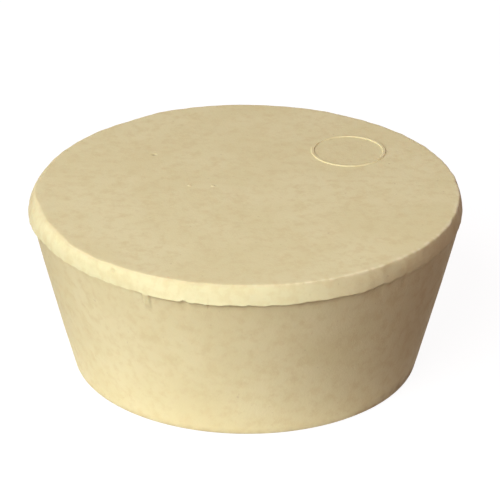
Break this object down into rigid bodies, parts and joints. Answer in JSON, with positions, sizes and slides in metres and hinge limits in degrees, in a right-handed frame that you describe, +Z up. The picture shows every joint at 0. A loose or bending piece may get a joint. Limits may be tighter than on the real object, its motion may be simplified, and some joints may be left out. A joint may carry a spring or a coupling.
{
  "type": "rubber stopper",
  "caption": "Solid tapered rubber stopper with a flat top and a low rim band, pushed into a round neck or hole to seal it.",
  "frame": {"origin": "middle of the small flat base, on the surface that the stopper stands on", "axes": "+Z up along the taper's axis, from the small end to the wide end; -Y faces the viewer of the picture"},
  "size_m": [0.063, 0.063, 0.0266],
  "materials": {
    "gum_rubber": "matte tan gum rubber, moulded, with a trimmed edge under the rim"
  },
  "bodies": {
    "root": {"stopper": "gum_rubber"}
  },
  "joints": []
}
